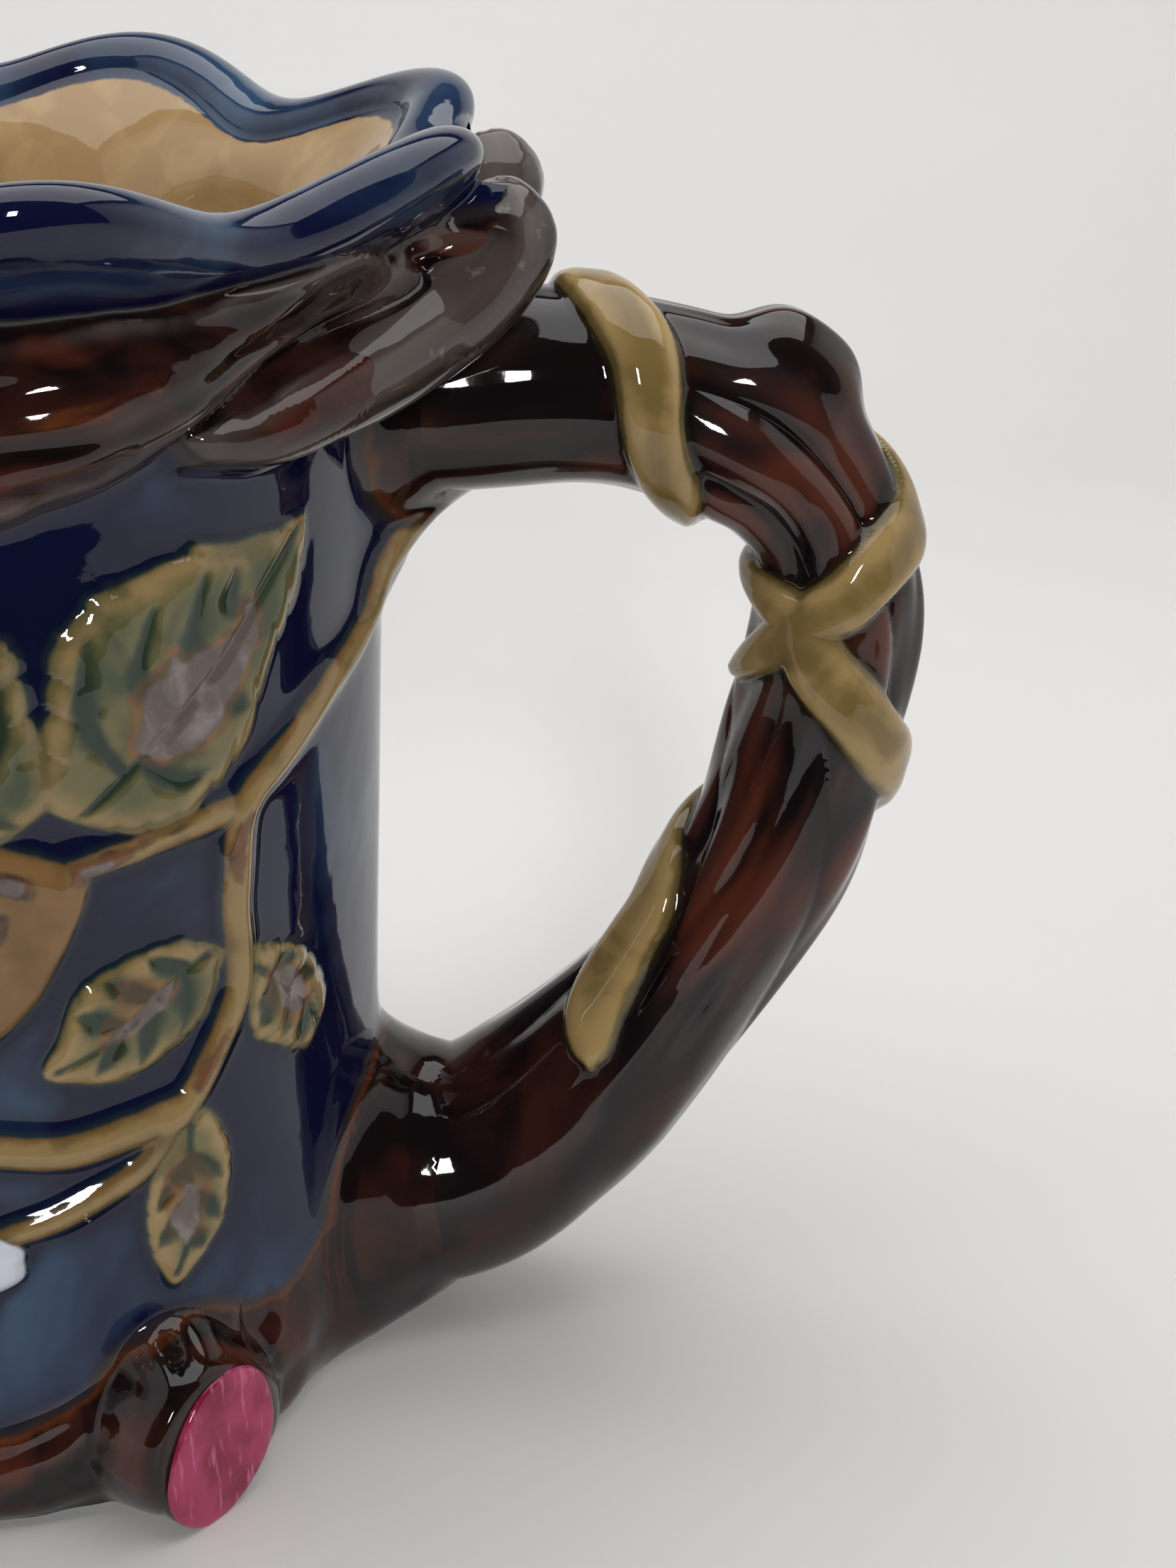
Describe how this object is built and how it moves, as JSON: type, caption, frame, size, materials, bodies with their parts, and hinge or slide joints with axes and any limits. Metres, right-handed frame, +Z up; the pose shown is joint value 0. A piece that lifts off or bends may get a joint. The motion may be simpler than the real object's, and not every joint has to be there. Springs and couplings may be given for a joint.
{
  "type": "majolica pitcher",
  "caption": "Hollow glazed earthenware pitcher with waved rim, spout, branch handle, branch band under the lip, trailing vine, leaves and blossom in relief, and a root-ring foot",
  "frame": {"origin": "on the body's axis, in the flat underside that rests on the table", "axes": "+Z up along the body's axis, +X towards the handle, -X towards the spout, -Y towards the side with the fuller relief"},
  "size_m": [0.2596, 0.173, 0.2139],
  "materials": {
    "glaze": "cobalt, brown, olive and tan majolica glaze, high gloss"
  },
  "bodies": {
    "root": {"pitcher": "glaze"}
  },
  "joints": []
}
